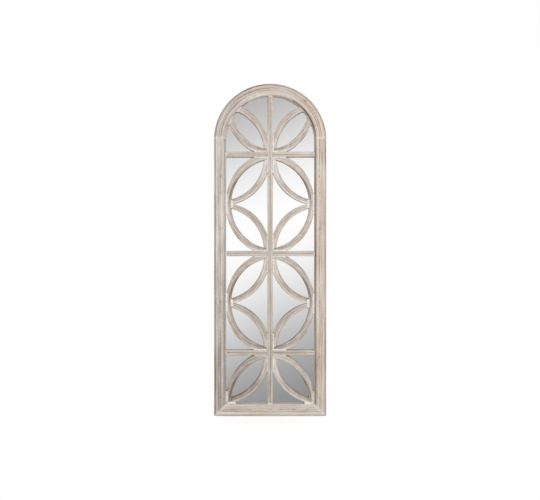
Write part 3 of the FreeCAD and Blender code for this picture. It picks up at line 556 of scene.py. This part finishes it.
# at a bar's end it runs across nearly the whole bar
end_run, end_start = 0.026, 0.013
bar_end = {"width": 0.004, "rise": 0.0015, "front": bars_front}
for height in rail_heights:
    for across in (-1, 1):
        for up in (-1, 1):
            press_filler(filler, (across * bar, height + up * bar), (across, 0), 0.0055, 0.0029,
                         along=(0, up * mullion_run))
            press_filler(filler, (across * past_mullion, height + up * bar), (0, up), 0.0055, 0.0028,
                         along=(across * rail_run, 0))
        press_filler(filler, (across * sight, height - end_start), (-across, 0),
                     along=(0, end_run), **bar_end)
# where a hoop touches the stile, and where two petals meet inside it
stile_run, petal_run, inside_hoop = 0.114, 0.044, 0.2135
for height in hoop_heights[1:3]:
    for across in (-1, 1):
        press_filler(filler, (across * sight, height - stile_run / 2), (-across, 0), 0.0095, 0.003,
                     along=(0, stile_run))
        press_filler(filler, (across * inside_hoop, height - petal_run / 2), (-across, 0), 0.012, 0.0007,
                     along=(0, petal_run))
# where the lowest strips meet the stiles, more on the left, and the foot rail, and at the arch
foot_start, foot_run, rail_start, strip_run = 0.078, 0.056, 0.186, 0.049
for across, wide in ((-1, 0.0105), (1, 0.0065)):
    press_filler(filler, (across * 0.2408, foot_start), (-across, 0), wide, 0.0012, along=(0, foot_run))
    press_filler(filler, (across * rail_start, face), (0, 1), 0.0115, 0.0014,
                 along=(across * strip_run, 0))
    for low, high in ((20.5, 33.0), (40.0, 49.5)):
        angle = math.radians(low if across > 0 else 180 - low)
        press_filler(filler, (sight * math.cos(angle), spring + sight * math.sin(angle)),
                     (-math.cos(angle), -math.sin(angle)), 0.0045, 0.0025, round_arch=(high - low) * across)
press_filler(filler, (-end_start, face), (0, 1), along=(end_run, 0), **bar_end)
press_filler(filler, (-end_start, spring + sight - 0.0006), (0, -1), along=(end_run, 0), **bar_end)
# no finger leaves it straight: up to 0.6 mm out of true, in waves of 7 mm, from a set seed so that
# each run gives the same filler
noise.seed_set(1)
for corner in filler.verts:
    pushed = noise.noise_vector(corner.co * 140)
    corner.co += Vector((pushed.x * 0.0006, min(pushed.y, 0) * 0.0003, pushed.z * 0.0006))
set_in_place(filler, "filler_fillets", putty, "lattice_timber")


# The pane. One sheet of float glass, silvered on its back and cut to the arch, lies in the frame's
# rebate behind the lattice.
silvered, tree = start_finish("silvered_float_glass")
place = add_node(tree, "ShaderNodeTexCoord").outputs["Object"]
# it mirrors nearly everything, under a haze left by wiping, in smears of 120 mm, that hardly blurs
smear = add_node(tree, "ShaderNodeTexNoise", [("Vector", place), ("Scale", 8.0), ("Detail", 3.0)])
haze = add_node(tree, "ShaderNodeMapRange", [
    ("Value", smear.outputs["Fac"]), ("From Min", 0.4), ("From Max", 0.7), ("To Min", 0.0), ("To Max", 0.02)])
surface = add_node(tree, "ShaderNodeBsdfPrincipled", [
    ("Base Color", linear("#FEFEFE")), ("Metallic", 1.0), ("Roughness", haze.outputs[0])])
add_node(tree, "ShaderNodeOutputMaterial", [("Surface", surface.outputs[0])])


def give_finish(name, material):
    """Gives a solid that keeps its own form its finish."""
    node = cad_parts[name]
    node.data.materials.clear()
    node.data.materials.append(material)


give_finish("mirror_glass", silvered)


# The back. A hardboard panel, smooth and brown with fine dark fibres, held in its rebate by flat
# zinc-plated points. Plywood tongues lie out of sight in the frame's joints.
hardboard, tree = start_finish("hardboard")
place = add_node(tree, "ShaderNodeTexCoord").outputs["Object"]
# fibres matted in all directions, drawn 4 mm long where real ones are 1 mm, so that they show
fibre = add_node(tree, "ShaderNodeTexNoise", [
    ("Vector", place), ("Scale", 250.0), ("Detail", 5.0), ("Roughness", 0.7)])
cloud = add_node(tree, "ShaderNodeTexNoise", [("Vector", place), ("Scale", 6.0), ("Detail", 2.0)])
mottle = add_node(tree, "ShaderNodeMath", [
    (0, cloud.outputs["Fac"]), (1, 0.5), (2, fibre.outputs["Fac"])], operation="MULTIPLY_ADD")
colour = add_node(tree, "ShaderNodeValToRGB", [("Fac", mottle.outputs[0])], stops=[
    (0.55, "#6B4E36"), (0.75, "#86664A"), (0.95, "#9C7D5F")])
surface = add_node(tree, "ShaderNodeBsdfPrincipled", [
    ("Base Color", colour.outputs[0]), ("Roughness", 0.6), ("IOR", 1.5)])
add_node(tree, "ShaderNodeOutputMaterial", [("Surface", surface.outputs[0])])
give_finish("backing_board", hardboard)


def plated_steel(name, light, dark, roughness):
    """Plated steel: a metal that is a little cloudy, from the plating bath. Zinc looks a dull cool
    grey, and nickel a brighter, warmer one."""
    material, tree = start_finish(name)
    place = add_node(tree, "ShaderNodeTexCoord").outputs["Object"]
    # clouds of 3 mm in the plating
    cloud = add_node(tree, "ShaderNodeTexNoise", [
        ("Vector", place), ("Scale", 330.0), ("Detail", 3.0)]).outputs["Fac"]
    colour = add_node(tree, "ShaderNodeValToRGB", [("Fac", cloud)], stops=[(0.35, dark), (0.65, light)])
    rough = add_node(tree, "ShaderNodeMapRange", [
        ("Value", cloud), ("To Min", roughness - 0.08), ("To Max", roughness + 0.12)])
    surface = add_node(tree, "ShaderNodeBsdfPrincipled", [
        ("Base Color", colour.outputs[0]), ("Metallic", 1.0), ("Roughness", rough.outputs[0])])
    add_node(tree, "ShaderNodeOutputMaterial", [("Surface", surface.outputs[0])])
    return material


zinc = plated_steel("zinc_plated_steel", "#C9CACB", "#A9ABAE", 0.38)
give_finish("backing_points", zinc)
# birch has the same run of streaks as washed fir, in its own pale browns
plywood = whitewashed_fir("birch_plywood", 0, ("#B08D63", "#C9A97E", "#D6BA92", "#E3CCA8"))
give_finish("joint_tongues", plywood)


# The hangers. Nickel-plated strips, cranked and rolled into an eye, each screwed to a stile with
# two pan-head screws. A ring of 3 mm wire, bent to a D, swings in each eye.
nickel = plated_steel("nickel_plated_steel", "#D3CFC7", "#B8B3AA", 0.25)
for name in ("hanger_strap_left", "hanger_strap_right"):
    give_finish(name, nickel)

hanger_out, eye_height, eye_back = 0.2848, 1.3986, 0.0034
# the wire's radius, its two bends', half the ring's width, and how far down its half round begins
wire, bend, ring_half, leg = 0.0015, 0.003, 0.0135, 0.008
for side, name in ((-1, "left"), (1, "right")):
    middle = side * hanger_out
    ring = bmesh.new()
    corner = ring_half - bend
    start = Vector((middle - corner, eye_back, eye_height))
    bmesh.ops.create_circle(ring, segments=16, radius=wire,
                            matrix=Matrix.Translation(start) @ Matrix.Rotation(math.radians(90), 4, "Y"))
    loop = run_on(ring, ring.edges[:], (corner * 2, 0, 0))
    loop = run_round(ring, loop, (middle + corner, eye_back, eye_height - bend), (0, 1, 0), 90, 8)
    loop = run_on(ring, loop, (0, 0, bend - leg))
    loop = run_round(ring, loop, (middle, eye_back, eye_height - leg), (0, 1, 0), 180, 24)
    loop = run_on(ring, loop, (0, 0, leg - bend))
    run_round(ring, loop, (middle - corner, eye_back, eye_height - bend), (0, 1, 0), 90, 8)
    bmesh.ops.remove_doubles(ring, verts=ring.verts[:], dist=0.00005)
    set_in_place(ring, f"hanger_ring_{name}_wire", nickel, "hanger_steel", f"hanger_ring_{name}",
                 body=f"ring_{name}")

strap_back, shank_length, head_radius, head_height = 0.0012, 0.0158, 0.004, 0.0022
screws = bmesh.new()
for side in (-1, 1):
    for height in (1.3676, 1.3536):
        middle = Vector((side * hanger_out, strap_back, height))
        seat = Matrix.Translation(middle) @ Matrix.Rotation(math.radians(-90), 4, "X")
        bmesh.ops.create_cone(
            screws, cap_ends=True, segments=12, radius1=0.001, radius2=0.002, depth=shank_length,
            matrix=seat @ Matrix.Translation((0, 0, -shank_length / 2)))
        head = bmesh.ops.create_cone(
            screws, cap_ends=True, segments=24, radius1=head_radius, radius2=head_radius, depth=head_height,
            matrix=seat @ Matrix.Translation((0, 0, head_height / 2)))["verts"]
        nearly_top = strap_back + head_height - 0.0004
        rim = {e for v in head for e in v.link_edges if all(end.co.y > nearly_top for end in e.verts)}
        bmesh.ops.bevel(screws, geom=list(rim), offset=0.0012, offset_type="OFFSET", segments=4,
                        profile=0.5, affect="EDGES", clamp_overlap=True, material=-1)
        # the crown is the rearmost face on the screw's axis, and its recess is a small round cup
        on_axis = [f for f in screws.faces if (f.calc_center_median() - middle).xz.length < 0.001]
        crown = max(on_axis, key=lambda f: f.calc_center_median().y)
        bmesh.ops.inset_individual(screws, faces=[crown], thickness=0.0012)
        bmesh.ops.inset_individual(screws, faces=[crown], thickness=0.0002, depth=-0.0009)
set_in_place(screws, "hanger_screws_turned", zinc, "fixing_steel", "hanger_screws")


# The wall pads. Two squares of black rubber, cut from a strip and glued to the back at the foot,
# keep the frame off the wall.
rubber, tree = start_finish("black_rubber")
place = add_node(tree, "ShaderNodeTexCoord").outputs["Object"]
# dull black, with a bloom of dust in spots of 2 mm
dust = add_node(tree, "ShaderNodeTexNoise", [("Vector", place), ("Scale", 500.0), ("Detail", 2.0)])
colour = add_node(tree, "ShaderNodeValToRGB", [("Fac", dust.outputs["Fac"])], stops=[
    (0.4, "#1B1B1C"), (0.7, "#2C2C2D")])
surface = add_node(tree, "ShaderNodeBsdfPrincipled", [
    ("Base Color", colour.outputs[0]), ("Roughness", 0.75), ("IOR", 1.52)])
add_node(tree, "ShaderNodeOutputMaterial", [("Surface", surface.outputs[0])])
pads = bmesh.new()
pads.from_mesh(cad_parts["wall_bumpers"].data)
bmesh.ops.remove_doubles(pads, verts=pads.verts[:], dist=0.00001)
bmesh.ops.dissolve_limit(pads, angle_limit=0.01, verts=pads.verts[:], edges=pads.edges[:])
pads_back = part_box("wall_bumpers")[1].y
worn_arrises = [e for e in pads.edges if all(end.co.y > pads_back - 0.0002 for end in e.verts)]
bmesh.ops.bevel(pads, geom=worn_arrises, offset=0.001, offset_type="OFFSET", segments=3, profile=0.5,
                affect="EDGES", clamp_overlap=True, material=-1)
set_in_place(pads, "wall_pads", rubber, "bumper_rubber", "wall_bumpers")
